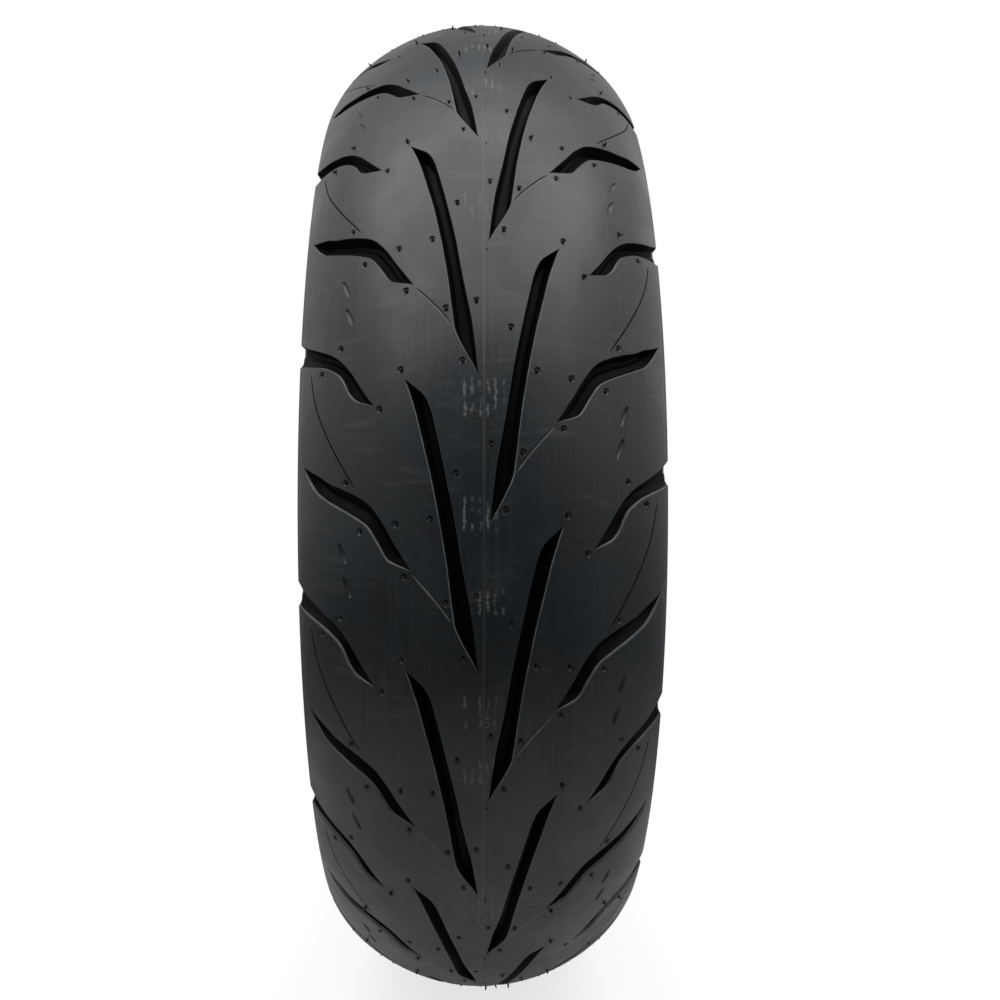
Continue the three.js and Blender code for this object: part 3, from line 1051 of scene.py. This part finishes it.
# Bevelled edges: a much lighter colour, a painted highlight for the edges that catch the light.
edge_highlight_material = plain_rubber("edge_painted_highlight_rubber", (0.1, 0.107, 0.11), 0.6, 0.3)
vent_material = plain_rubber("vent_rubber", (0.006, 0.007, 0.008), 0.5, 0.4)

finish_piece(make_tread(), "tread_rubber", [tread_material, groove_shade_material, edge_highlight_material], "tread")
finish_piece(make_vents(), "tread_rubber", vent_material)

RINGS = [
    ("undertread", "soft_rubber", soft_material),
    ("breaker_outer", "belt_fabric", belt_material),
    ("breaker_inner", "belt_fabric", belt_back_material),
    ("carcass_ply_outer", "ply_fabric", ply_material),
    ("carcass_ply_inner", "ply_fabric", ply_material),
    ("inner_liner", "liner_rubber", liner_material),
]
PAIRED_RINGS = [
    ("shoulder_cushion", "soft_rubber", soft_material),
    ("bead_core", "bead_steel", wire_material),
    ("bead_wrap", "ply_fabric", ply_material),
    ("bead_filler", "soft_rubber", soft_material),
    ("chafer", "ply_fabric", chafer_material),
]
for name, side in ((n, s) for n in PAIRED_RINGS for s in ("right", "left")):
    RINGS.append((f"{name[0]}_{side}", name[1], name[2]))
for node, slot, material in RINGS:
    ring = turned(node + "_ring", softened(cad_outline(node), 2), RING_SEGMENTS)
    finish_piece(ring, slot, material, node)

heel = [
    [HEEL_CENTRE[0] + HEEL_RADIUS * math.cos(a), HEEL_CENTRE[1] - HEEL_RADIUS * math.sin(a)]
    for a in np.linspace(0, math.pi / 2, 9)
]
for side, hand in ((1, "right"), (-1, "left")):
    flank = make_flank("sidewall_ribbed_" + hand, side, SIDE_LINE, SIDE_RIBS, SIDE_BACK, hatched)
    finish_piece(flank, "sidewall_rubber", wall_material, "sidewall_" + hand)
    strip = make_flank("rim_strip_ribbed_" + hand, side, RIM_LINE, RIM_RIBS, heel + TOE_LINE + RIM_BACK)
    finish_piece(strip, "sidewall_rubber", wall_material, "rim_strip_" + hand)


# ---------- floor, light and camera ----------
def add_area(name, place, target, size, power):
    light = bpy.data.lights.new(name, "AREA")
    light.shape = "RECTANGLE"
    light.size, light.size_y = size
    light.energy = power
    obj = bpy.data.objects.new(name, light)
    obj.location = place
    obj.rotation_euler = (Vector(target) - Vector(place)).to_track_quat("-Z", "Y").to_euler()
    bpy.context.scene.collection.objects.link(obj)


FLOOR_RADIUS = 0.55
FLOOR_SIDES = 96
FLOOR_GLOW = 0.36
OVERHEAD_PLACE = (0.52, 0.0, 1.0)
OVERHEAD_TARGET = (0.1, 0, 0.1)
OVERHEAD_SIZE = (2.0, 1.25)
OVERHEAD_POWER = 21
# How bright the studio is as (direction from, direction to, brightness from, brightness to).
SIDE_LIGHT = (0.25, 1.0, 0.01, 1.1)
BACK_LIGHT = (-1.0, 0.0, 0.65, 0.0)
LIGHT_BY_HEIGHT = (-0.25, 0.4, 0.1, 1.0)


def make_floor():
    """A pale round floor that fades out into the white around it."""
    level = -OUTER_RADIUS * MM - 0.0004
    turns = [TAU * k / FLOOR_SIDES for k in range(FLOOR_SIDES)]
    rim = [(FLOOR_RADIUS * math.cos(a), FLOOR_RADIUS * math.sin(a), level) for a in turns]
    floor = new_object("floor", rim, [tuple(range(FLOOR_SIDES))])
    s = Shader("pale_floor", (0.88, 0.88, 0.88), 0.9)
    s.surface.inputs["Specular IOR Level"].default_value = 0.1
    s.surface.inputs["Emission Color"].default_value = (1, 1, 1, 1)
    s.surface.inputs["Emission Strength"].default_value = FLOOR_GLOW
    x, y, _ = s.node("ShaderNodeSeparateXYZ", Vector=s.place).outputs
    reach = s.math("SQRT", s.math("ADD", s.math("MULTIPLY", x, x), s.math("MULTIPLY", y, y)))
    s.feed(s.surface.inputs["Alpha"], s.ramp(reach, 0.25, 0.97 * FLOOR_RADIUS, 0.42, 0.0))
    floor.data.materials.append(s.material)
    floor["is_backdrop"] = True


def make_world():
    """A studio that shows white, and lights the tire from the sides and back, more so from above."""
    world = bpy.data.worlds.new("studio")
    world.use_nodes = True
    tree = world.node_tree
    tree.nodes["Background"].inputs["Color"].default_value = (1, 1, 1, 1)

    def joined(operation, *values):
        node = tree.nodes.new("ShaderNodeMath")
        node.operation = operation
        for socket, value in zip(node.inputs, values):
            tree.links.new(value, socket)
        return node.outputs[0]

    def level(direction, span):
        node = tree.nodes.new("ShaderNodeMapRange")
        for key, value in zip(("From Min", "From Max", "To Min", "To Max"), span):
            node.inputs[key].default_value = value
        tree.links.new(direction, node.inputs["Value"])
        return node.outputs["Result"]

    split = tree.nodes.new("ShaderNodeSeparateXYZ")
    tree.links.new(tree.nodes.new("ShaderNodeTexCoord").outputs["Generated"], split.inputs["Vector"])
    x, y, z = split.outputs
    ring = joined("ADD", level(joined("ABSOLUTE", y), SIDE_LIGHT), level(x, BACK_LIGHT))
    shown = tree.nodes.new("ShaderNodeMix")
    shown.inputs["B"].default_value = 1.0
    tree.links.new(joined("MULTIPLY", ring, level(z, LIGHT_BY_HEIGHT)), shown.inputs["A"])
    tree.links.new(tree.nodes.new("ShaderNodeLightPath").outputs["Is Camera Ray"], shown.inputs["Factor"])
    tree.links.new(shown.outputs["Result"], tree.nodes["Background"].inputs["Strength"])
    bpy.context.scene.world = world


SENSOR_WIDTH = 36
LENS = 36.7776  # focal length in millimetres, for that sensor
CAMERA_DISTANCE = 2.35 * OUTER_RADIUS * MM
CAMERA_TURN = math.radians(0.38)  # the camera stands a little left of the tire's middle plane
CENTRE_IN_FRAME = (-0.0209, 0.0058)  # where the wheel's centre shows, right and down from the frame's middle


def make_camera():
    data = bpy.data.cameras.new("camera")
    data.sensor_width = SENSOR_WIDTH
    data.lens = LENS
    data.clip_start = 0.01
    data.shift_x = -CENTRE_IN_FRAME[0]
    data.shift_y = CENTRE_IN_FRAME[1]
    camera = bpy.data.objects.new("camera", data)
    place = CAMERA_DISTANCE * Vector((math.cos(CAMERA_TURN), -math.sin(CAMERA_TURN), 0))
    camera.location = place
    camera.rotation_euler = (-place).to_track_quat("-Z", "Y").to_euler()
    bpy.context.scene.collection.objects.link(camera)
    bpy.context.scene.camera = camera


make_floor()
make_world()
add_area("overhead", OVERHEAD_PLACE, OVERHEAD_TARGET, OVERHEAD_SIZE, OVERHEAD_POWER)
make_camera()
bpy.context.scene.view_settings.view_transform = "Standard"

boxes = {"cad": cad_box, "visual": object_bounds()}
{name: [list(corner) for corner in box] for name, box in boxes.items()}
